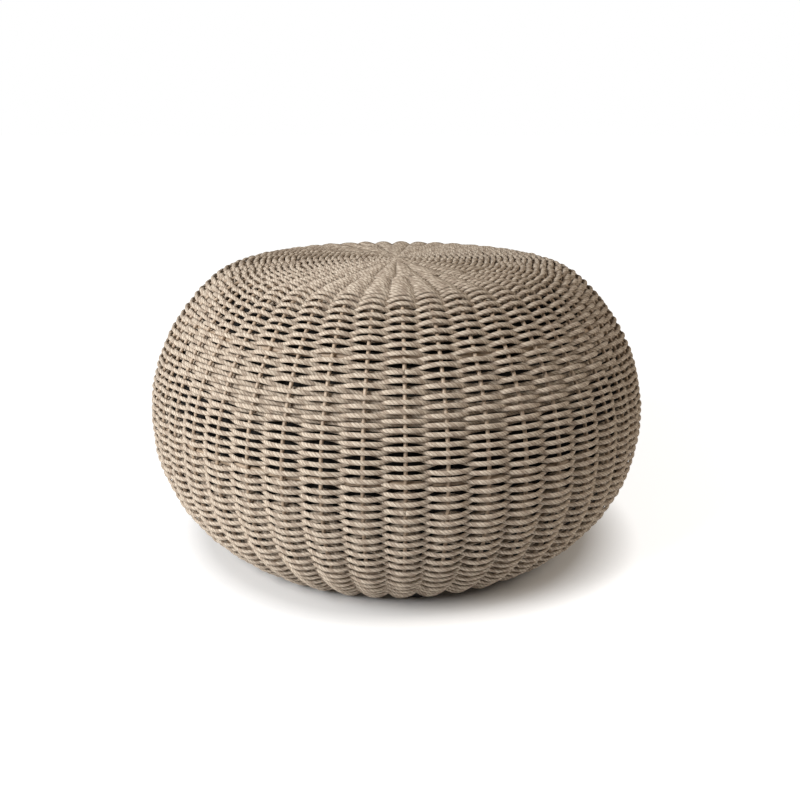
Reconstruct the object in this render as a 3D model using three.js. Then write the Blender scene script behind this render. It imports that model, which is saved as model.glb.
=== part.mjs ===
import * as THREE from 'three';

// Driving sizes in millimetres. Z is up, the floor is at zero and the photographed side faces minus Y.
const bodyRadius = 300;
const crownRise = 181;
const crownCurveReach = 785;
const shoulderCurveRise = 237;
const widestHeight = 163;
const lowerCurveDepth = 213.5;
const cordThickness = 6;
const ribRadius = 2;
const ribEndHeight = 10;
const hubRadius = 34;
const hoopRadius = 3;
const baseRingRadius = 6;
const liningThickness = 0.8;
const glideLength = 16;
const glideBottomWidth = 12;
const glideJaw = 3;
const glideLip = 2;
const glideChamfer = 1;
const crownEyeRadius = 16;
const gap = 0.3;

// Distance between the visible rows of the weave, in millimetres, at lengths along a rib from the middle of
// the crown: close on the crown, even around the side and a little wider underneath.
const crownPitch = 7.6;
const sidePitch = 9.1;
const basePitch = 11.5;
const crownPitchEnd = 120;
const sidePitchStart = 205;
const sidePitchEnd = 450;
const basePitchStart = 475;

// Shapes of the arcs of the outline: 2 is an ellipse and larger is boxier.
const ellipsePower = 2;
const basePower = 2.244;

// How sharply the crown arc turns into the shoulder arc. Larger is sharper.
const edgeSharpness = 40;

// Counts. The odd number of ribs lets one spiral cord pass each rib on the other side at its next turn.
const ribCount = 45;
const ribSides = 5;
const ribStations = 14;
const hoopSides = 6;
const baseRingSides = 8;
const curveSamples = 4000;
const fadedTurns = 3;
const grooveSteps = 6;
const glideCount = 6;
const hoopSegments = { upper_hoop: 5, middle_hoop: 8, lower_hoop: 11 };

// Shares of another size.
const coverInwardShare = 0.25;
const weaveFadeShare = 0.5;

// Angles.
const firstRibAngle = THREE.MathUtils.degToRad(1.75);
const grooveOuterAngle = THREE.MathUtils.degToRad(-70);
const grooveInnerAngle = THREE.MathUtils.degToRad(-180);

// Sizes that follow from the driving ones.
const ribInset = cordThickness + ribRadius;
const ribStep = (2 * Math.PI) / ribCount;
const coverInnerOffset = ribRadius + gap;
const coverInwardOffset = coverInnerOffset + (ribInset - coverInnerOffset) * coverInwardShare;
const weaveFadeRadius = bodyRadius * weaveFadeShare;

const steel = new THREE.MeshStandardMaterial({ color: 0xb59d84, roughness: 0.55, metalness: 0.4 });
const rope = new THREE.MeshStandardMaterial({ color: 0x9a8876, roughness: 0.95, metalness: 0 });
const plastic = new THREE.MeshStandardMaterial({ color: 0x2c2a28, roughness: 0.7, metalness: 0 });
const cloth = new THREE.MeshStandardMaterial({ color: 0x1e1a17, roughness: 1, metalness: 0 });

const group = new THREE.Group();
group.name = 'ottoman_footstool';

function add(name, geometry, material) {
  const mesh = new THREE.Mesh(geometry, material);
  mesh.name = name;
  group.add(mesh);
}

// The distance from the middle of an oval to its edge in one direction. The rib lies one inset inside it.
function ovalSize(angle, reach, rise, power) {
  const across = Math.abs(Math.cos(angle)) / (reach - ribInset);
  const up = Math.abs(Math.sin(angle)) / (rise - ribInset);
  return Math.pow(Math.pow(across, power) + Math.pow(up, power), -1 / power);
}

// The upper half is a steep shoulder arc that is cut off by the much flatter arc of the crown.
function upperSize(angle) {
  const shoulder = ovalSize(angle, bodyRadius, shoulderCurveRise, ellipsePower);
  const crown = ovalSize(angle, crownCurveReach, crownRise, ellipsePower);
  const ratio = Math.pow(shoulder / crown, edgeSharpness);
  return shoulder * Math.pow(1 + ratio, -1 / edgeSharpness);
}

// One point of the rib centre line, seen from the side: x is the distance from the axis, y the height.
function curvePoint(angle) {
  const above = Math.sin(angle) >= 0;
  const size = above ? upperSize(angle) : ovalSize(angle, bodyRadius, lowerCurveDepth, basePower);
  return new THREE.Vector2(size * Math.abs(Math.cos(angle)), widestHeight + size * Math.sin(angle));
}

// The rib centre line as closely spaced points, each with its distance from the crown along the curve.
function denseCurve() {
  const points = [];
  let length = 0;
  for (let step = 0; step <= curveSamples; step += 1) {
    const point = curvePoint(Math.PI / 2 - (Math.PI * step) / curveSamples);
    if (points.length > 0) {
      length += point.distanceTo(points[points.length - 1].point);
    }
    points.push({ point, length });
  }
  return points;
}

const curve = denseCurve();

// The length along the curve at which a reading of its points first passes a limit.
function lengthWhere(reading, limit) {
  const index = curve.findIndex((entry) => reading(entry.point) >= limit);
  const before = curve[index - 1];
  const after = curve[index];
  const share = (limit - reading(before.point)) / (reading(after.point) - reading(before.point));
  return THREE.MathUtils.lerp(before.length, after.length, share);
}

// The point at a given length along the curve.
function pointAt(length) {
  const found = curve.findIndex((entry) => entry.length >= length);
  const index = Math.max(found, 1);
  const before = curve[index - 1];
  const after = curve[index];
  const share = (length - before.length) / (after.length - before.length);
  return before.point.clone().lerp(after.point, share);
}

// The outward direction of the curve at a given length.
function normalAt(length) {
  const reach = (curve[1].length - curve[0].length) * 2;
  const before = pointAt(Math.max(length - reach, 0));
  const along = pointAt(length + reach).sub(before).normalize();
  return new THREE.Vector2(-along.y, along.x);
}

const ribStart = lengthWhere((point) => point.x, hubRadius + gap);
const ribEnd = lengthWhere((point) => -point.y, -ribEndHeight);

// The straight pieces that every rib is bent into, shared with the inside of the cover.
function ribLine() {
  const line = [];
  for (let station = 0; station < ribStations; station += 1) {
    line.push(pointAt(THREE.MathUtils.lerp(ribStart, ribEnd, station / (ribStations - 1))));
  }
  return line;
}

const line = ribLine();

// The outward direction of one straight piece of the rib.
function pieceNormal(index) {
  const along = line[index + 1].clone().sub(line[index]).normalize();
  return new THREE.Vector2(-along.y, along.x);
}

// At a bend, the outward step that keeps an offset line parallel to both of its straight pieces.
function bendNormal(index) {
  const before = pieceNormal(Math.max(index - 1, 0));
  const after = pieceNormal(Math.min(index, ribStations - 2));
  const middle = before.clone().add(after).normalize();
  return middle.divideScalar(middle.dot(after));
}

function lineOffset(index, offset) {
  return line[index].clone().addScaledVector(bendNormal(index), offset);
}

// Turns a side-view point about the axis. Angle zero faces minus Y.
function turned(point, angle) {
  return new THREE.Vector3(point.x * Math.sin(angle), -point.x * Math.cos(angle), point.y);
}

function ribAngle(index) {
  return firstRibAngle + ribStep * index;
}

function meshFrom(vertices, triangles) {
  const geometry = new THREE.BufferGeometry();
  const numbers = vertices.flatMap((vertex) => vertex.toArray());
  geometry.setAttribute('position', new THREE.Float32BufferAttribute(numbers, 3));
  geometry.setIndex(triangles.flat());
  geometry.computeVertexNormals();
  return geometry;
}

// A rib is a rod with a bend at every station and a flat end at the hub and at the base.
function ribGeometry(index) {
  const angle = ribAngle(index);
  const sideways = new THREE.Vector3(Math.cos(angle), Math.sin(angle), 0);
  const vertices = [];
  const triangles = [];
  for (let station = 0; station < ribStations; station += 1) {
    for (let side = 0; side < ribSides; side += 1) {
      const turn = (2 * Math.PI * side) / ribSides;
      const vertex = turned(lineOffset(station, ribRadius * Math.cos(turn)), angle);
      vertices.push(vertex.addScaledVector(sideways, ribRadius * Math.sin(turn)));
    }
  }
  for (let station = 0; station < ribStations - 1; station += 1) {
    for (let side = 0; side < ribSides; side += 1) {
      const here = station * ribSides + side;
      const beside = station * ribSides + ((side + 1) % ribSides);
      triangles.push([here, here + ribSides, beside]);
      triangles.push([beside, here + ribSides, beside + ribSides]);
    }
  }
  const last = (ribStations - 1) * ribSides;
  for (let side = 1; side < ribSides - 1; side += 1) {
    triangles.push([0, side, side + 1]);
    triangles.push([last, last + side + 1, last + side]);
  }
  return meshFrom(vertices, triangles);
}

// Turns a closed side-view outline about the axis, with a corner at every rib.
function turnedOutline(points) {
  return new THREE.LatheGeometry(points, ribCount, firstRibAngle).rotateX(Math.PI / 2);
}

function roundOutline(centre, radius, sides, outward) {
  const start = Math.atan2(outward.y, outward.x);
  const points = [];
  for (let side = 0; side <= sides; side += 1) {
    const turn = start + (2 * Math.PI * (side % sides)) / sides;
    points.push(new THREE.Vector2(centre.x + radius * Math.cos(turn), centre.y + radius * Math.sin(turn)));
  }
  return points;
}

// A hoop of round wire that lies against the inner side of every rib, in the middle of one straight piece.
function hoopCentre(segment, radius) {
  const middle = line[segment].clone().lerp(line[segment + 1], 1 / 2);
  return middle.addScaledVector(pieceNormal(segment), -(ribRadius + gap + radius));
}

function hoopGeometry(segment) {
  const centre = hoopCentre(segment, hoopRadius);
  return turnedOutline(roundOutline(centre, hoopRadius, hoopSides, pieceNormal(segment)));
}

// The base ring is a tube that lies on the inner side of the rib ends.
const ringCentre = lineOffset(ribStations - 1, -(ribRadius + gap + baseRingRadius));

function baseRingGeometry() {
  const outward = pieceNormal(ribStations - 2);
  return turnedOutline(roundOutline(ringCentre, baseRingRadius, baseRingSides, outward));
}

// The lining is one layer of cloth that hangs inside the hoops, from the middle of the crown down to the
// base ring, and is closed at the top only.
function liningSide(offset) {
  const side = [];
  for (let station = 0; station < ribStations - 1; station += 1) {
    side.push(lineOffset(station, -offset));
  }
  const last = ribStations - 2;
  const ringReach = (baseRingRadius + gap) / line[last].distanceTo(line[last + 1]);
  const end = line[last].clone().lerp(line[last + 1], 1 - ringReach);
  side.push(end.addScaledVector(pieceNormal(last), -offset));
  return side;
}

function liningGeometry() {
  const offset = ribRadius + gap + 2 * hoopRadius + gap;
  const outer = liningSide(offset);
  const inner = liningSide(offset + liningThickness);
  const top = new THREE.Vector2(0, outer[0].y);
  const under = new THREE.Vector2(0, inner[0].y);
  return turnedOutline([under, ...inner, ...outer.reverse(), top]);
}

// The hub is a flat disc with a bevelled rim. The rib ends meet the rim.
function hubGeometry() {
  const top = line[0].y + ribRadius;
  const bottom = line[0].y - ribRadius;
  const bevel = ribRadius / 2;
  return turnedOutline([
    new THREE.Vector2(0, bottom),
    new THREE.Vector2(hubRadius - bevel, bottom),
    new THREE.Vector2(hubRadius, line[0].y - bevel),
    new THREE.Vector2(hubRadius, line[0].y + bevel),
    new THREE.Vector2(hubRadius - bevel, top),
    new THREE.Vector2(0, top),
  ]);
}

// A glide hooks under the base ring from inside, halfway between two ribs, and stands on the floor.
function glideGeometry() {
  const chordRadius = ringCentre.x * Math.cos(ribStep / 2);
  const groove = baseRingRadius + gap;
  const grooveX = (angle) => chordRadius + groove * Math.cos(angle);
  const grooveY = (angle) => ringCentre.y + groove * Math.sin(angle);
  const inner = chordRadius - groove - glideJaw;
  const jawTop = ringCentre.y + glideLip;
  const shape = new THREE.Shape();
  shape.moveTo(inner + glideChamfer, 0);
  shape.lineTo(inner + glideBottomWidth - glideChamfer, 0);
  shape.lineTo(inner + glideBottomWidth, glideChamfer);
  shape.lineTo(grooveX(grooveOuterAngle), grooveY(grooveOuterAngle));
  for (let step = 1; step <= grooveSteps; step += 1) {
    const angle = THREE.MathUtils.lerp(grooveOuterAngle, grooveInnerAngle, step / grooveSteps);
    shape.lineTo(grooveX(angle), grooveY(angle));
  }
  shape.lineTo(chordRadius - groove, jawTop);
  shape.lineTo(inner + glideChamfer, jawTop);
  shape.lineTo(inner, jawTop - glideChamfer);
  shape.lineTo(inner, glideChamfer);
  shape.closePath();
  const geometry = new THREE.ExtrudeGeometry(shape, { depth: glideLength, bevelEnabled: false });
  return geometry.translate(0, 0, -glideLength / 2).rotateX(Math.PI / 2);
}

// Glides go into the spaces between ribs that are nearest to even spacing, one of them at the front.
function glideSpace(index) {
  return Math.round((ribCount * index) / glideCount) + 1 / 2;
}

// How far a length has come from one length to another: nought before the first, one after the second.
function passed(length, first, second) {
  return THREE.MathUtils.clamp((length - first) / (second - first), 0, 1);
}

// The distance from one row to the next at a length along the curve, with an even change between the parts.
function rowPitch(length) {
  const upper = THREE.MathUtils.lerp(crownPitch, sidePitch, passed(length, crownPitchEnd, sidePitchStart));
  return THREE.MathUtils.lerp(upper, basePitch, passed(length, sidePitchEnd, basePitchStart));
}

// Where each row starts, as a length along the curve, stretched a little so that the last row ends the rib.
function rowLengths(start, end) {
  const lengths = [start];
  while (lengths[lengths.length - 1] < end) {
    const last = lengths[lengths.length - 1];
    lengths.push(last + rowPitch(last));
  }
  const stretch = (end - start) / (lengths[lengths.length - 1] - start);
  return lengths.map((length) => start + (length - start) * stretch);
}

// How far a row has come down at one rib. The first and last rows are level rings, and the rows next to
// them gain the slope of the spiral little by little.
function weaveLength(rows, turn, index) {
  const fromEnd = Math.min(turn, rows.length - 1 - turn);
  const slope = Math.min(fromEnd / fadedTurns, 1);
  const next = rows[Math.min(turn + 1, rows.length - 1)];
  return THREE.MathUtils.lerp(rows[turn], next, (slope * index) / ribCount);
}

// The outside of the cover, one point at each rib on each turn. Even points stand out where the cord
// passes in front of the rib and odd points are let in where it passes behind.
function coverOutside() {
  const rows = rowLengths(lengthWhere((point) => point.x, crownEyeRadius), ribEnd);
  const points = [];
  for (let turn = 0; turn < rows.length; turn += 1) {
    for (let index = 0; index < ribCount; index += 1) {
      const length = weaveLength(rows, turn, index);
      const centre = pointAt(length);
      const relief = Math.min(centre.x / weaveFadeRadius, 1);
      const inFront = (turn * ribCount + index) % 2 === 0;
      const inward = THREE.MathUtils.lerp(ribInset, coverInwardOffset, relief);
      const offset = inFront ? ribInset : inward;
      points.push(turned(centre.addScaledVector(normalAt(length), offset), ribAngle(index)));
    }
  }
  return points;
}

// The inside of the cover, one ring at each rib station.
function coverInside() {
  const points = [];
  for (let station = 0; station < ribStations; station += 1) {
    for (let index = 0; index < ribCount; index += 1) {
      points.push(turned(lineOffset(station, coverInnerOffset), ribAngle(index)));
    }
  }
  return points;
}

// The outside is one spiral strip: after the last rib of a turn comes the first rib of the next turn.
function spiralTriangles(count) {
  const triangles = [];
  for (let index = 0; index + ribCount + 1 < count; index += 1) {
    triangles.push([index, index + ribCount, index + 1]);
    triangles.push([index + 1, index + ribCount, index + ribCount + 1]);
  }
  triangles.push([0, ribCount - 1, ribCount]);
  triangles.push([count - ribCount - 1, count - 1, count - ribCount]);
  return triangles;
}

function coverGeometry() {
  const outside = coverOutside();
  const inside = coverInside();
  const first = outside.length;
  const lastTurn = outside.length - ribCount;
  const lastRing = first + inside.length - ribCount;
  const outerEye = first + inside.length;
  const innerEye = outerEye + 1;
  const triangles = spiralTriangles(outside.length);
  for (let index = 0; index < ribCount; index += 1) {
    const next = (index + 1) % ribCount;
    triangles.push([outerEye, index, next]);
    triangles.push([innerEye, first + next, first + index]);
    triangles.push([lastTurn + index, lastRing + index, lastTurn + next]);
    triangles.push([lastTurn + next, lastRing + index, lastRing + next]);
    for (let station = 0; station < ribStations - 1; station += 1) {
      const here = first + station * ribCount + index;
      const beside = first + station * ribCount + next;
      triangles.push([here, beside, here + ribCount]);
      triangles.push([beside, beside + ribCount, here + ribCount]);
    }
  }
  const outerCentre = new THREE.Vector3(0, 0, widestHeight + crownRise);
  const innerCentre = new THREE.Vector3(0, 0, inside[0].z);
  return meshFrom([...outside, ...inside, outerCentre, innerCentre], triangles);
}

add('top_hub', hubGeometry(), steel);
for (let index = 0; index < ribCount; index += 1) {
  add(`rib_${String(index + 1).padStart(2, '0')}`, ribGeometry(index), steel);
}
for (const [name, segment] of Object.entries(hoopSegments)) {
  add(name, hoopGeometry(segment), steel);
}
add('base_ring', baseRingGeometry(), steel);
add('lining', liningGeometry(), cloth);
for (let index = 0; index < glideCount; index += 1) {
  const angle = ribAngle(glideSpace(index));
  add(`glide_${index + 1}`, glideGeometry().rotateZ(angle - Math.PI / 2), plastic);
}
add('woven_cover', coverGeometry(), rope);

export default group;
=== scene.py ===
import math

import bpy
import numpy as np
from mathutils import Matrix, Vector


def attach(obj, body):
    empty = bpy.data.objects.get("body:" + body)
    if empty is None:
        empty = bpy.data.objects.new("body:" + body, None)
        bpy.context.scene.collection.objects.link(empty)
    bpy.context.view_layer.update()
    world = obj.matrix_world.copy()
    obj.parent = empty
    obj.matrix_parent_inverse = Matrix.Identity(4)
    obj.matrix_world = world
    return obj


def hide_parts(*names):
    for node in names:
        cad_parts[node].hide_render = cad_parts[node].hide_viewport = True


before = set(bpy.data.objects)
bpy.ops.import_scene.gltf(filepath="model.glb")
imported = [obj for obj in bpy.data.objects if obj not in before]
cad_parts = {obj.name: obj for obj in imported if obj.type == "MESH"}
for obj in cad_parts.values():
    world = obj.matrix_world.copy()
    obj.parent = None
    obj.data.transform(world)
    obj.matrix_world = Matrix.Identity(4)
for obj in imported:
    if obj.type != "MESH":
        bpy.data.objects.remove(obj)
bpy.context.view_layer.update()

# Ribs. Forty-five round steel rods, each bent to the side view of the body, stand round the stool
# like the staves of a basket. They are powder coated in light tan and welded to the hub at the top
# and to the base ring below. Between those welds they stand 1 mm outside the line of the CAD ribs.
BODY_RADIUS = 0.300
CROWN_RISE = 0.181
CROWN_CURVE_REACH = 0.785
SHOULDER_CURVE_RISE = 0.237
WIDEST_HEIGHT = 0.163
LOWER_CURVE_DEPTH = 0.2135
LOWER_CURVE_POWER = 2.244
EDGE_SHARPNESS = 40
CORD_SPACE = 0.006
ROD_RADIUS = 0.002
ROD_LIFT = 0.001
LIFT_ENDS = (0.01, 0.04)
ROD_END_TAPER = 0.8
RIB_INSET = CORD_SPACE + ROD_RADIUS
RIB_COUNT = 45
RIB_STEP = 2 * math.pi / RIB_COUNT
FIRST_RIB_ANGLE = math.radians(1.75)
RIB_END_HEIGHT = 0.010
HUB_RADIUS = 0.034


def oval_size(turn, across, up, power=2):
    """From the middle of an oval to its edge: (|cos| / a)^p + (|sin| / b)^p = size^-p, where a and
    b are the half width and half height less the inset of the ribs."""
    return ((np.abs(np.cos(turn)) / (across - RIB_INSET)) ** power
            + (np.abs(np.sin(turn)) / (up - RIB_INSET)) ** power) ** (-1 / power)


def outline_curve(samples=6000):
    """The rib centre line seen from the side. Above the widest height it is a steep shoulder arc
    cut off by the flat arc of the crown, joined as (shoulder^-k + crown^-k)^(-1/k), and below it is
    one arc. Returns the length from the crown, the radius, the height and the outward direction."""
    turn = np.linspace(math.pi / 2, -math.pi / 2, samples)
    shoulder = oval_size(turn, BODY_RADIUS, SHOULDER_CURVE_RISE)
    crown = oval_size(turn, CROWN_CURVE_REACH, CROWN_RISE)
    upper = shoulder * (1 + (shoulder / crown) ** EDGE_SHARPNESS) ** (-1 / EDGE_SHARPNESS)
    lower = oval_size(turn, BODY_RADIUS, LOWER_CURVE_DEPTH, LOWER_CURVE_POWER)
    reach = np.where(np.sin(turn) >= 0, upper, lower)
    r, z = reach * np.cos(turn), WIDEST_HEIGHT + reach * np.sin(turn)
    length = np.concatenate([[0], np.cumsum(np.hypot(np.diff(r), np.diff(z)))])
    size = np.hypot(np.gradient(r), np.gradient(z))
    return length, r, z, -np.gradient(z) / size, np.gradient(r) / size


CURVE = outline_curve()


def crown_length(radius):
    """The length along the rib line, above the widest height, at which it reaches a radius."""
    upper_half = len(CURVE[0]) // 2
    return np.interp(radius, CURVE[1][:upper_half], CURVE[0][:upper_half])


def on_curve(length, offset=0):
    """The radius and height at a length along the rib line, moved outwards by the offset."""
    r, z, out_r, out_z = (np.interp(length, CURVE[0], column) for column in CURVE[1:])
    return r + out_r * offset, z + out_z * offset


def outward_at(length):
    """The outward direction at a length along the rib line, as its radial and upright shares."""
    return np.interp(length, CURVE[0], CURVE[3]), np.interp(length, CURVE[0], CURVE[4])


def turned(r, z, angle):
    """A side-view point turned about the axis: x = r sin a, y = -r cos a. Zero faces the front."""
    return np.stack(np.broadcast_arrays(r * np.sin(angle), -r * np.cos(angle), z), axis=-1)


def smooth_step(value, low, high):
    """Zero up to the low value and one from the high value, joined by 3 t^2 - 2 t^3."""
    share = np.clip((value - low) / (high - low), 0, 1)
    return share * share * (3 - 2 * share)


def grid_mesh(name, points, closed=False, along=None):
    """A mesh over a grid of points of shape (stations, round, 3). Neighbouring stations are joined
    by quads, and the grid closes on itself round each station. The last station is joined to the
    first where closed is true, and otherwise both get a flat cap. Lengths along the grid, one for
    each station, give a UV map of (length, turn round the station)."""
    stations, count = points.shape[:2]
    here = np.arange(stations * count).reshape(stations, count)
    if closed:
        here = np.concatenate([here, here[:1]])
    beside = np.roll(here, -1, axis=1)
    quads = np.stack([here[:-1], beside[:-1], beside[1:], here[1:]], axis=-1).reshape(-1, 4)
    loops, sizes = quads.ravel(), np.full(len(quads), 4)
    if not closed:
        caps = [np.arange(count)[::-1], np.arange(count) + (stations - 1) * count]
        loops, sizes = np.concatenate([loops, *caps]), np.concatenate([sizes, [count, count]])
    mesh = bpy.data.meshes.new(name)
    mesh.vertices.add(stations * count)
    mesh.vertices.foreach_set("co", points.reshape(-1).astype(np.float32))
    mesh.loops.add(len(loops))
    mesh.loops.foreach_set("vertex_index", loops.astype(np.int32))
    mesh.polygons.add(len(sizes))
    mesh.polygons.foreach_set("loop_start", (np.cumsum(sizes) - sizes).astype(np.int32))
    mesh.polygons.foreach_set("use_smooth", np.arange(len(sizes)) < len(quads))
    if along is not None:
        start_of_quad = np.repeat(np.tile(np.arange(count), stations - 1), 4)
        place = np.zeros((len(loops), 2), np.float32)
        place[:quads.size, 0] = along[quads.ravel() // count]
        place[:quads.size, 1] = (np.tile([0, 1, 1, 0], len(quads)) + start_of_quad) / count
        mesh.uv_layers.new(name="cord_length")
        mesh.uv_layers[0].data.foreach_set("uv", place.ravel())
    mesh.update(calc_edges=True)
    piece = bpy.data.objects.new(name, mesh)
    bpy.context.scene.collection.objects.link(piece)
    return piece


def tube_points(path, sideways, outward, half_side, half_out, sides):
    """A tube: path + sideways a cos(v) + outward b sin(v), a and b being its half widths there."""
    turn = 2 * math.pi * np.arange(sides) / sides
    across = half_side[:, None, None] * np.cos(turn)[None, :, None]
    out = half_out[:, None, None] * np.sin(turn)[None, :, None]
    return path[:, None] + sideways[:, None] * across + outward[:, None] * out


def rgb(red, green, blue):
    """A colour given as it shows on screen, turned into the linear values that shaders take."""
    return tuple(c / 12.92 if c <= 0.04045 else ((c + 0.055) / 1.055) ** 2.4
                 for c in (red, green, blue)) + (1,)


def new_material(name, roughness):
    """A material with the plain shader at a roughness, and its node tree."""
    material = bpy.data.materials.new(name)
    material.use_nodes = True
    shader = material.node_tree.nodes["Principled BSDF"]
    shader.inputs["Roughness"].default_value = roughness
    return material, material.node_tree, shader


def add_node(tree, kind, **sockets):
    """A new node, with its sockets set by name: Scale=40 sets the socket Scale to 40."""
    node = tree.nodes.new("ShaderNode" + kind)
    for socket, value in sockets.items():
        node.inputs[socket].default_value = value
    return node


def noise(tree, place, scale, detail=2):
    """Cloudy noise read at a place, from zero to one."""
    node = add_node(tree, "TexNoise", Scale=scale, Detail=detail)
    tree.links.new(place, node.inputs["Vector"])
    return node.outputs["Fac"]


def colour_by(tree, factor, *stops):
    """Colours by a factor. Each stop is the value of the factor and the colour it stands for."""
    ramp = add_node(tree, "ValToRGB")
    elements = ramp.color_ramp.elements
    elements[0].position, elements[0].color = stops[0]
    elements[1].position, elements[1].color = stops[-1]
    for position, colour in stops[1:-1]:
        elements.new(position).color = colour
    tree.links.new(factor, ramp.inputs["Fac"])
    return ramp.outputs["Color"]


def raise_surface(tree, shader, height, strength, distance):
    """Fine relief: the surface rises by the distance, in metres, where the height is one."""
    bump = add_node(tree, "Bump", Strength=strength, Distance=distance)
    tree.links.new(height, bump.inputs["Height"])
    tree.links.new(bump.outputs["Normal"], shader.inputs["Normal"])


def powder_coat():
    """Light tan powder coat: faint clouds of colour, and a fine orange-peel surface."""
    material, tree, shader = new_material("tan_powder_coat", roughness=0.45)
    place = add_node(tree, "TexCoord").outputs["Object"]
    clouds, peel = noise(tree, place, scale=40), noise(tree, place, scale=1800)
    tone = colour_by(tree, clouds, (0.35, rgb(0.67, 0.59, 0.51)), (0.65, rgb(0.73, 0.65, 0.56)))
    tree.links.new(tone, shader.inputs["Base Color"])
    raise_surface(tree, shader, peel, strength=0.25, distance=0.0002)
    return material


FRAME_FINISH = powder_coat()
RIB_START = crown_length(HUB_RADIUS - ROD_RADIUS / 2)
RIB_END = np.interp(-RIB_END_HEIGHT, -CURVE[2], CURVE[0])


def rib(index, stations=72, sides=12):
    """A round rod along the rib line at this rib's angle. It leaves the line by the lift between
    its ends, and at each end its radius falls to r sqrt(1 - taper^2)."""
    length = np.linspace(RIB_START, RIB_END, stations)
    from_end = np.minimum(length - RIB_START, RIB_END - length)
    angle = FIRST_RIB_ANGLE + RIB_STEP * index
    path = turned(*on_curve(length, ROD_LIFT * smooth_step(from_end, *LIFT_ENDS)), angle)
    outward = turned(*outward_at(length), angle)
    sideways = np.broadcast_to([math.cos(angle), math.sin(angle), 0], path.shape)
    radius = ROD_RADIUS * np.sqrt(1 - np.clip(1 - from_end / ROD_RADIUS, 0, ROD_END_TAPER) ** 2)
    points = tube_points(path, sideways, outward, radius, radius, sides)
    return grid_mesh(f"bent_rib_{index + 1:02d}", points)


def finish_metal(piece, node):
    """Coats a metal piece, fixes it to the body and lets it stand in for its CAD node."""
    piece.data.materials.append(FRAME_FINISH)
    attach(piece, "root")
    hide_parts(node)


for index in range(RIB_COUNT):
    finish_metal(rib(index), f"rib_{index + 1:02d}")

# Hub. A pressed steel disc under the middle of the crown holds the upper ends of the ribs, which
# are welded to its rim. It has a rolled edge and the same coat as the ribs, and the cord hides it.
HUB_EDGE = 0.0012
HUB_FACE_RADII = np.array([0.004, 0.012, 0.020, 0.028])


def hub_plate(around=90, edge_stations=9):
    """A disc turned about the axis: flat faces level with the rods' lower and upper sides, joined
    at the rim by half an oval, r = rim + edge cos(t) and z = rod radius sin(t)."""
    z_middle = on_curve(crown_length(HUB_RADIUS))[1]
    edge = np.linspace(-math.pi / 2, math.pi / 2, edge_stations)
    rim = HUB_RADIUS - HUB_EDGE + HUB_EDGE * np.cos(edge)
    r = np.concatenate([HUB_FACE_RADII, rim, HUB_FACE_RADII[::-1]])
    face = np.ones(len(HUB_FACE_RADII))
    z = z_middle + ROD_RADIUS * np.concatenate([-face, np.sin(edge), face])
    angle = np.linspace(0, 2 * math.pi, around, endpoint=False)
    return grid_mesh("hub_plate", turned(r[:, None], z[:, None], angle[None, :]))


finish_metal(hub_plate(), "top_hub")

# Hoops. Three rings of round steel wire lie against the inner side of the ribs at the shoulder, the
# widest place and below it, and are welded to each rib so that the rods keep their spacing.
HOOP_RADIUS = 0.003
HOOP_INSET = ROD_RADIUS + HOOP_RADIUS - ROD_LIFT
HOOP_STATIONS = {"upper_hoop": 5.5, "middle_hoop": 8.5, "lower_hoop": 11.5}
RIB_STATIONS = 13
WELD_GAP = 0.0003


def rib_level(station):
    """The length along the rib line at a station of the CAD ribs, whose straight bits are equal."""
    start = crown_length(HUB_RADIUS + WELD_GAP)
    return start + (RIB_END - start) * station / RIB_STATIONS


def ring(name, length, inward, radius, sides, around=270):
    """A ring of round section, a distance inwards from the rib line at a length along it: a circle
    of the ring's radius turned about the axis."""
    r, z = on_curve(length, -inward)
    turn = 2 * math.pi * np.arange(sides) / sides
    angle = np.linspace(0, 2 * math.pi, around, endpoint=False)
    section_r, section_z = r + radius * np.cos(turn), z - radius * np.sin(turn)
    points = turned(section_r[:, None], section_z[:, None], angle[None, :])
    return grid_mesh(name, points, closed=True)


for node, station in HOOP_STATIONS.items():
    finish_metal(ring("round_" + node, rib_level(station), HOOP_INSET, HOOP_RADIUS, sides=14), node)

# Base ring. A steel tube bent into a circle lies inside the lower ends of the ribs, which are
# welded to its outer side. It carries the whole body, and the glides are pushed on from below.
BASE_TUBE_RADIUS = 0.006
BASE_TUBE_INSET = ROD_RADIUS + WELD_GAP + BASE_TUBE_RADIUS

base = ring("base_tube_ring", RIB_END, BASE_TUBE_INSET, BASE_TUBE_RADIUS, sides=20)
finish_metal(base, "base_ring")

# Lining. A dome of thin sheet with a cloth surface hangs inside the hoops, tied to the hub at
# the top and to the base ring, and keeps the inside from showing between the courses. It is slack
# between its ties. Its very dark colour is painted shade, standing in for the unlit inside of the
# stool.
LINING_THICKNESS = 0.0008
LINING_INSET = ROD_RADIUS + 2 * HOOP_RADIUS + WELD_GAP
LINING_TOP = 0.002
LINING_SLACK = 0.002


def shade_lining_dome(stations=130, around=360):
    """A sheet with two sides, turned about the axis inside the hoops. Between two ties it hangs
    inwards by slack |sin(pi t)| (1 + 0.3 sin(9 a) + 0.2 sin(14 a + 2)), a being the angle round the
    stool. The stations run down its inner side and up its outer, so the underside stays open."""
    end = RIB_END - BASE_TUBE_RADIUS - WELD_GAP
    ties = [rib_level(station) for station in (0, *HOOP_STATIONS.values())]
    length = np.linspace(LINING_TOP, end, stations)
    phase = np.interp(length, [*ties, end], range(len(ties) + 1))
    slack = LINING_SLACK * np.abs(np.sin(math.pi * phase))
    angle = np.linspace(0, 2 * math.pi, around, endpoint=False)
    fold = 1 + 0.3 * np.sin(9 * angle) + 0.2 * np.sin(14 * angle + 2)
    hang = LINING_INSET + slack[:, None] * fold[None, :]
    outer, inner = (turned(*on_curve(length[:, None], -hang - depth), angle[None, :])
                    for depth in (0, LINING_THICKNESS))
    return grid_mesh("painted_shade_lining", np.concatenate([inner, outer[::-1]]))


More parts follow.
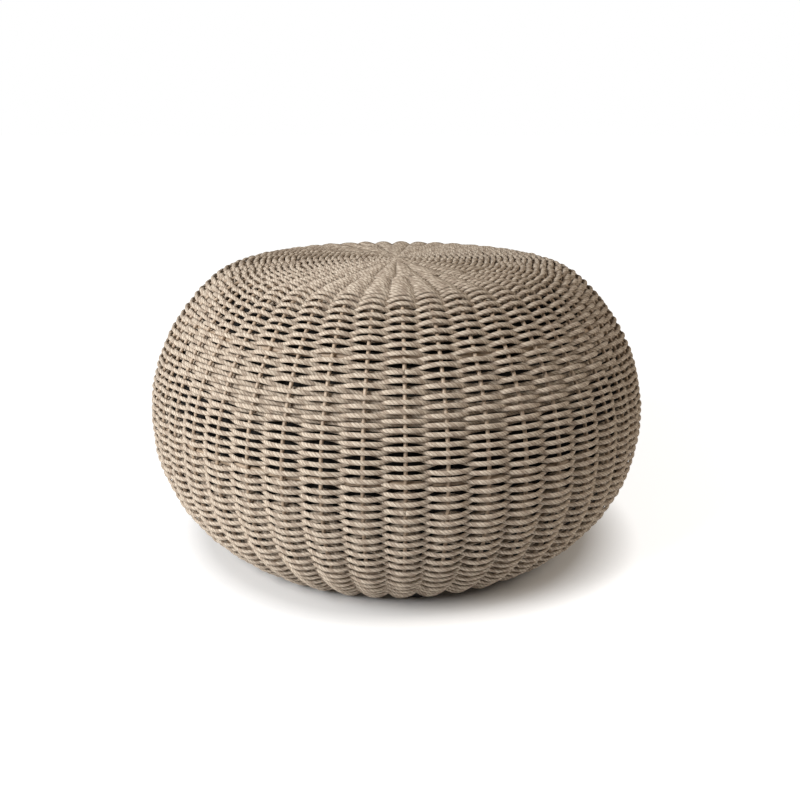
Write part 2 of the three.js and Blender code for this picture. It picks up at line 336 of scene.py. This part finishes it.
def calculate(tree, operation, first, second=None):
    """One sum in a material. Each of its two values is another node's output or a plain number."""
    node = tree.nodes.new("ShaderNodeMath")
    node.operation = operation
    for slot, value in enumerate((first, second)):
        if isinstance(value, bpy.types.NodeSocket):
            tree.links.new(value, node.inputs[slot])
        elif value is not None:
            node.inputs[slot].default_value = value
    return node.outputs[0]


def shade_cloth_finish():
    """Painted shade in very dark brown: the unlit inside of the stool, on a cloth surface with
    faint clouds of colour and fine crossed threads from two waves.
    """
    material, tree, shader = new_material("painted_shade_cloth", roughness=0.95)
    place = add_node(tree, "TexCoord").outputs["Object"]
    clouds = noise(tree, place, scale=30)
    # Painted shade: this very dark colour stands in for the unlit inside of the stool.
    tone = colour_by(tree, clouds, (0, rgb(0.06, 0.05, 0.04)), (1, rgb(0.10, 0.09, 0.08)))
    tree.links.new(tone, shader.inputs["Base Color"])
    threads = []
    for direction in ("X", "Z"):
        wave = add_node(tree, "TexWave", Scale=350)
        wave.bands_direction = direction
        tree.links.new(place, wave.inputs["Vector"])
        threads.append(wave.outputs["Fac"])
    raise_surface(tree, shader, calculate(tree, "ADD", *threads), strength=0.4, distance=0.0002)
    return material


lining = shade_lining_dome()
lining.data.materials.append(shade_cloth_finish())
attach(lining, "root")
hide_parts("lining")

# Cord. One long cord of twisted polyolefin strands, heathered taupe and cream, is woven in a spiral
# from the middle of the crown to the base ring, before one rib and behind the next, and is pulled
# tight, so that it lies flat. The ribs are an odd number, so each turn passes the other way.
CORD_RADIUS = 0.0025
FLAT_SHARE = 0.78
THICKEST_SHARE = 1.2
CORD_SIDES = 12
# How far outside and inside the rib line its centre passes, and how much further out on the wall.
RIDE_OFFSET = 0.0052
WALL_RIDE = 0.0005
BEHIND_OFFSET = 0.0056
# Behind the ribs it is pulled thinner, and on the lower wall also upwards, under the course above.
BEHIND_NARROWING = 0.42
BEHIND_RISE = 0.0022
# Near the middle it passes two ribs at a time: 22 pairs and the last rib, which stands alone. The
# table gives the number of the pair by that of the rib. It is whole in the middle of each pair.
PAIRED_LENGTH = 0.120
PAIRS_OPEN = (PAIRED_LENGTH - 0.004, PAIRED_LENGTH + 0.004)
PAIR_COUNT = 23
PAIR_AT_RIB = {0: -1 / 3, 0.5: 0, 42.5: 21, 44: 22, 45: 22 + 2 / 3}
# How flat the wave of the weave is over a rib or a pair, and the power by which the section there
# goes over into the one between the ribs.
SINGLE_FLATNESS = 0.9
PAIR_FLATNESS = 1.6
SECTION_POWER = 1.2
# The weave starts flat at the eye and reaches its full depth between these radii, and half its
# depth is at most this share of the way from rib to rib.
DEPTH_RADII = (0.008, 0.030)
SINK_RADII = (0.010, 0.040)
STEEPEST_SHARE = 0.45
# Lengths along the rib line, from the middle of the crown, over which the weave changes, and how
# far the section fills the width of its course before and after.
OUTER_CROWN = (0.08, 0.12)
CROWN_RIM = (0.19, 0.23)
TIGHTER_WALL = (0.17, 0.23)
SHOULDER = (0.15, 0.25)
LOWER_WALL = (0.30, 0.36)
CROWN_TIGHTNESS = 0.84
WALL_TIGHTNESS = 1.03
# The hand of the weaver: small seeded wanders along the ribs, away from the crown, and outwards.
WANDER_ALONG, ALONG_SEED = 0.0005, 3
WANDER_OUT, OUT_SEED = 0.00025, 5
WANDER_STARTS = (0.10, 0.16)
# Spacing of the visible rows, in millimetres, by the length in millimetres. Two turns make a row.
EYE_LENGTH = 0.0035
ROW_SPACING = {0: 13, 12: 13, 24: 7.6, 150: 7.6, 190: 9.1, 285: 9.2, 295: 10.3, 304: 10.2,
               314: 8.6, 345: 8.6, 385: 8.8, 440: 9.2, 455: 9.7, 470: 11, 577: 11.2}
FIRST_OPEN_ROW = 0.2032
FIRST_OPEN_TURN = 50
EVEN_ROWS_END = 0.48


def row_lengths(samples=8000):
    """Turn number of the spiral against length along the rib line: the sum of 2 / spacing. It is
    shifted so that the first open row falls on its turn, and the last turn is a whole one."""
    length = np.linspace(EYE_LENGTH, RIB_END, samples)
    places, spacings = np.array(list(ROW_SPACING.items())).T / 1000
    rate = 2 / np.interp(length, places, spacings)
    turns = np.concatenate([[0], np.cumsum((rate[1:] + rate[:-1]) / 2 * np.diff(length))])
    shift = FIRST_OPEN_TURN - np.interp(FIRST_OPEN_ROW, length, turns)
    last_shift = math.floor(turns[-1] + shift) - turns[-1]
    knots = [EYE_LENGTH, FIRST_OPEN_ROW, EVEN_ROWS_END, RIB_END]
    return length, turns + np.interp(length, knots, [0, shift, shift, last_shift])


ROWS = row_lengths()
COURSE = np.gradient(*ROWS)
TURNS = round(ROWS[1][-1])


def smooth_random(spread, seed, position):
    """Random values at whole numbers, joined by half cosine waves."""
    values = np.random.default_rng(seed).normal(0, spread, int(position.max()) + 4)
    low = np.floor(position).astype(int)
    share = (1 - np.cos(math.pi * (position - low))) / 2
    return values[low] * (1 - share) + values[low + 1] * share


def passing(phase, flatness):
    """The wave of the weave, tanh(-f cos(pi phase)) / tanh(f): -1 behind a rib and +1 before it,
    where the phase is a whole number, even and odd."""
    return np.tanh(-flatness * np.cos(math.pi * phase)) / math.tanh(flatness)


def cord_path(crossing):
    """The centre line of the cord at a crossing number, counted in ribs along the spiral. The
    length along the rib line follows the rows. The offset from that line is lift + depth * wave,
    and the wave turns at each rib, or near the middle of the crown at each pair of ribs. Returns
    the length, the offset, the angle, the width of the course and the wave."""
    turn = crossing / RIB_COUNT
    length = np.interp(turn, ROWS[1], ROWS[0])
    course = np.interp(turn, ROWS[1], COURSE)
    r = on_curve(length)[0]
    pair = np.interp(np.mod(crossing, RIB_COUNT), list(PAIR_AT_RIB), list(PAIR_AT_RIB.values()))
    double = passing(pair + PAIR_COUNT * np.floor(turn), PAIR_FLATNESS)
    single = passing(crossing, SINGLE_FLATNESS)
    opened = smooth_step(length, *PAIRS_OPEN)
    wave = double * (1 - opened) + single * opened
    ride = RIDE_OFFSET + WALL_RIDE * smooth_step(length, *SHOULDER)
    half_travel = (ride + BEHIND_OFFSET) / 2
    rib_spacing = r * RIB_STEP * np.where(length < PAIRED_LENGTH, 2, 1)
    depth = np.minimum(half_travel, STEEPEST_SHARE * rib_spacing) * smooth_step(r, *DEPTH_RADII)
    lift = ride - half_travel * smooth_step(r, *SINK_RADII)
    along = smooth_random(WANDER_ALONG, ALONG_SEED, crossing) * smooth_step(length, *WANDER_STARTS)
    out = smooth_random(WANDER_OUT, OUT_SEED, crossing) * opened
    rise = BEHIND_RISE * smooth_step(length, *LOWER_WALL) * np.clip(-wave, 0, 1)
    angle = FIRST_RIB_ANGLE + RIB_STEP * crossing
    return length + along - rise, lift + depth * wave + out, angle, course, wave


def half_widths(length, course, wave):
    """Half the cord's height along the ribs and half its depth. Between the ribs the height is
    that of the course, and at the ribs the cord's own, less behind them. The half depth is share
    r^2 / half height, so that the cord keeps its area."""
    lower = smooth_step(length, *TIGHTER_WALL)
    tightness = CROWN_TIGHTNESS + (WALL_TIGHTNESS - CROWN_TIGHTNESS) * lower
    pressed = np.minimum(CORD_RADIUS, course * tightness / 2)
    slim = (smooth_step(length, *LOWER_WALL)
            + smooth_step(length, *OUTER_CROWN) * (1 - smooth_step(length, *CROWN_RIM)))
    free = np.abs(wave) ** SECTION_POWER
    narrowing = BEHIND_NARROWING * slim * (wave < 0)
    half_down = pressed * (1 - free) + CORD_RADIUS * free * (1 - narrowing)
    half_out = np.minimum(FLAT_SHARE * CORD_RADIUS**2 / half_down, THICKEST_SHARE * CORD_RADIUS)
    return half_down, half_out


def cord_stretch(name, first_turn, last_turn, steps_per_rib, length_before):
    """A stretch of the cord from one turn to another: an oval section carried along the centre
    line. Returns the piece and the cord's length up to its end."""
    first, last = first_turn * RIB_COUNT, last_turn * RIB_COUNT
    crossing = np.linspace(first, last, (last - first) * steps_per_rib + 1)
    length, offset, angle, course, wave = cord_path(crossing)
    path = turned(*on_curve(length, offset), angle)
    out_r, out_z = outward_at(length)
    down = turned(out_z, -out_r, angle)
    tangent = np.gradient(path, axis=0)
    tangent /= np.linalg.norm(tangent, axis=1, keepdims=True)
    down -= tangent * np.sum(down * tangent, axis=1, keepdims=True)
    down /= np.linalg.norm(down, axis=1, keepdims=True)
    half_down, half_out = half_widths(length, course, wave)
    points = tube_points(path, down, np.cross(down, tangent), half_down, half_out, CORD_SIDES)
    steps = np.linalg.norm(np.diff(path, axis=0), axis=1)
    along = length_before + np.concatenate([[0], np.cumsum(steps)])
    return grid_mesh(name, points, along=along), along[-1]


STRAND_LAY = 0.0165
STRAND_COUNT = 4
FIBRES_ACROSS_STRAND = 6
FIBRE_WAVES_PER_METRE = 250
SHADE_SHARE = 0.2
# Colour sockets of the Mix node, which has others of the same names for numbers.
MIX_COLOUR_A, MIX_COLOUR_B, MIX_COLOUR_RESULT = 6, 7, 2


def cord_finish():
    """Twisted cord. The strands run round the cord as they run along it, so the strand number is
    strands times (length / lay + turn round the cord). Each strand is round, |sin(pi number)|^0.9,
    with painted shade darkening its grooves, and has its own shade of taupe or cream with a grain
    along it."""
    material, tree, shader = new_material("heathered_cord", roughness=0.85)
    uv = add_node(tree, "UVMap")
    uv.uv_map = "cord_length"
    split = add_node(tree, "SeparateXYZ")
    tree.links.new(uv.outputs["UV"], split.inputs["Vector"])
    along, around = split.outputs["X"], split.outputs["Y"]
    twist = calculate(tree, "ADD", calculate(tree, "DIVIDE", along, STRAND_LAY), around)
    number = calculate(tree, "MULTIPLY", twist, STRAND_COUNT)
    wave = calculate(tree, "SINE", calculate(tree, "MULTIPLY", number, math.pi))
    roundness = calculate(tree, "POWER", calculate(tree, "ABSOLUTE", wave), 0.9)

    shade = add_node(tree, "TexWhiteNoise")
    shade.noise_dimensions = "1D"
    strand = calculate(tree, "MODULO", calculate(tree, "FLOOR", number), STRAND_COUNT)
    tree.links.new(strand, shade.inputs["W"])
    fibre = add_node(tree, "CombineXYZ")
    tree.links.new(calculate(tree, "MULTIPLY", number, FIBRES_ACROSS_STRAND), fibre.inputs["X"])
    tree.links.new(calculate(tree, "MULTIPLY", along, FIBRE_WAVES_PER_METRE), fibre.inputs["Y"])
    grain = noise(tree, fibre.outputs["Vector"], scale=1, detail=3)
    mixed = calculate(tree, "ADD", calculate(tree, "MULTIPLY", shade.outputs["Value"], SHADE_SHARE),
                      calculate(tree, "MULTIPLY", grain, 1 - SHADE_SHARE))
    tone = colour_by(tree, mixed, (0.32, rgb(0.56, 0.49, 0.43)), (0.50, rgb(0.72, 0.66, 0.59)),
                     (0.66, rgb(0.85, 0.80, 0.73)))
    # Painted shade: the base colour is multiplied down to about 0.58 in the grooves between the
    # strands.
    shadow = colour_by(tree, roundness, (0, (0.58, 0.52, 0.48, 1)), (0.8, (1, 1, 1, 1)))
    mix = add_node(tree, "Mix")
    mix.data_type, mix.blend_type = "RGBA", "MULTIPLY"
    mix.inputs["Factor"].default_value = 1
    tree.links.new(tone, mix.inputs[MIX_COLOUR_A])
    tree.links.new(shadow, mix.inputs[MIX_COLOUR_B])
    tree.links.new(mix.outputs[MIX_COLOUR_RESULT], shader.inputs["Base Color"])
    height = calculate(tree, "ADD", roundness, calculate(tree, "MULTIPLY", grain, 0.25))
    raise_surface(tree, shader, height, strength=0.5, distance=0.0006)
    return material


# The one length of cord is modelled in pieces of whole turns: two on the crown, where the ribs
# stand close and fewer steps are enough, and six on the wall.
CROWN_LENGTH = 0.150
CROWN_TURNS = int(np.interp(CROWN_LENGTH, *ROWS))
CROWN_PIECES = 2
WALL_PIECES = 6
CROWN_STEPS = 7
WALL_STEPS = 11
CORD_FINISH = cord_finish()


def share_out(first, last, count):
    """Whole turns from the first to the last, spread evenly over a count of pieces."""
    return [round(first + (last - first) * piece / count) for piece in range(count + 1)]


turn_ends = share_out(0, CROWN_TURNS, CROWN_PIECES)
turn_ends += share_out(CROWN_TURNS, TURNS, WALL_PIECES)[1:]
cord_length = 0.0
for number, stretch in enumerate(zip(turn_ends, turn_ends[1:]), start=1):
    steps = CROWN_STEPS if number <= CROWN_PIECES else WALL_STEPS
    piece, cord_length = cord_stretch(f"woven_cord_{number}", *stretch, steps, cord_length)
    piece.data.materials.append(CORD_FINISH)
    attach(piece, "root")
    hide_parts("woven_cover")

# Glides. Six feet of dark moulded plastic clip on to the base ring from inside, spread as evenly
# as the ribs allow. Only they touch the floor, and their CAD solids show as they are.
GLIDE_COUNT = 6


def glide_finish():
    """Dark moulded plastic with a fine spark-eroded grain, in its colour and its surface."""
    material, tree, shader = new_material("moulded_plastic", roughness=0.6)
    grain = noise(tree, add_node(tree, "TexCoord").outputs["Object"], scale=900)
    tone = colour_by(tree, grain, (0, rgb(0.12, 0.11, 0.10)), (1, rgb(0.20, 0.19, 0.18)))
    tree.links.new(tone, shader.inputs["Base Color"])
    raise_surface(tree, shader, grain, strength=0.3, distance=0.0002)
    return material


PLASTIC = glide_finish()
for index in range(GLIDE_COUNT):
    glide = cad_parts[f"glide_{index + 1}"]
    glide.data.materials.clear()
    glide.data.materials.append(PLASTIC)

# Studio. A pale floor and plain white air round it, two soft boxes, and the camera at the place
# from which the photograph was taken. None of it belongs to the stool.
scene = bpy.context.scene
scene.view_settings.view_transform = "Standard"
FLOOR_HALF = 30
GLOW_REACH = 2.0
GLOW_START = 0.24
GLOW_NEARLY_FULL = 0.31


def studio_floor():
    """A flat square, far larger than the stool. To the camera its paint also glows white, by how
    far the place is from the stool's middle, so that the floor is white and keeps the shadow."""
    corners = [(-FLOOR_HALF, -FLOOR_HALF, 0), (FLOOR_HALF, -FLOOR_HALF, 0),
               (FLOOR_HALF, FLOOR_HALF, 0), (-FLOOR_HALF, FLOOR_HALF, 0)]
    mesh = bpy.data.meshes.new("studio_floor")
    mesh.from_pydata(corners, [], [(0, 1, 2, 3)])
    floor = bpy.data.objects.new("studio_floor", mesh)
    scene.collection.objects.link(floor)
    material = bpy.data.materials.new("white_floor")
    material.use_nodes = True
    tree = material.node_tree
    tree.nodes.clear()
    from_middle = add_node(tree, "VectorMath")
    from_middle.operation = "LENGTH"
    tree.links.new(add_node(tree, "TexCoord").outputs["Object"], from_middle.inputs[0])
    share = calculate(tree, "MULTIPLY", from_middle.outputs["Value"], 1 / GLOW_REACH)
    fade = colour_by(tree, share, (GLOW_START / GLOW_REACH, (0, 0, 0, 1)),
                     (GLOW_NEARLY_FULL / GLOW_REACH, (0.75, 0.75, 0.75, 1)), (1, (1, 1, 1, 1)))
    rays = add_node(tree, "LightPath")
    seen = calculate(tree, "MAXIMUM", rays.outputs["Is Camera Ray"], rays.outputs["Is Glossy Ray"])
    glow = add_node(tree, "Emission")
    tree.links.new(calculate(tree, "MULTIPLY", seen, fade), glow.inputs["Strength"])
    paint = add_node(tree, "BsdfDiffuse", Color=(0.8, 0.8, 0.8, 1))
    both = add_node(tree, "AddShader")
    tree.links.new(paint.outputs[0], both.inputs[0])
    tree.links.new(glow.outputs[0], both.inputs[1])
    tree.links.new(both.outputs[0], add_node(tree, "OutputMaterial").inputs["Surface"])
    floor.data.materials.append(material)


studio_floor()


def studio_air():
    """Faint even light from all round, and plain white where the camera looks past the floor."""
    world = bpy.data.worlds.new("studio_air")
    world.use_nodes = True
    scene.world = world
    tree = world.node_tree
    tree.nodes.clear()
    light = add_node(tree, "Background", Color=(1, 1, 1, 1), Strength=0.06)
    seen = add_node(tree, "Background", Color=(1, 1, 1, 1), Strength=1)
    mix = add_node(tree, "MixShader")
    tree.links.new(add_node(tree, "LightPath").outputs["Is Camera Ray"], mix.inputs["Fac"])
    tree.links.new(light.outputs[0], mix.inputs[1])
    tree.links.new(seen.outputs[0], mix.inputs[2])
    tree.links.new(mix.outputs[0], add_node(tree, "OutputWorld").inputs["Surface"])


studio_air()


def lamp(name, place, target, size, power, colour):
    """A square soft box that points from its place to its target."""
    data = bpy.data.lights.new(name, "AREA")
    data.size = size
    data.energy = power
    data.color = colour
    box = bpy.data.objects.new(name, data)
    scene.collection.objects.link(box)
    box.location = place
    box.rotation_euler = (Vector(target) - Vector(place)).to_track_quat("-Z", "Y").to_euler()


middle = (0, 0, WIDEST_HEIGHT)
lamp("key_soft_box", (-0.97, -0.90, 0.92), middle, size=0.7, power=26, colour=(1, 1, 1))
lamp("fill_soft_box", (1.65, -0.45, 1.35), middle, size=0.9, power=15, colour=(1, 0.90, 0.78))

CAMERA_DISTANCE = 1.0994
CAMERA_ELEVATION = math.radians(17.77)
camera_data = bpy.data.cameras.new("photograph_view")
camera_data.sensor_width = 36
camera_data.lens = 38.99
camera_data.shift_x = 0.0047
camera_data.shift_y = -0.0016
camera = bpy.data.objects.new("photograph_view", camera_data)
scene.collection.objects.link(camera)
camera.location = (0, -CAMERA_DISTANCE * math.cos(CAMERA_ELEVATION),
                   WIDEST_HEIGHT + CAMERA_DISTANCE * math.sin(CAMERA_ELEVATION))
camera.rotation_euler = (math.pi / 2 - CAMERA_ELEVATION, 0, 0)
scene.camera = camera
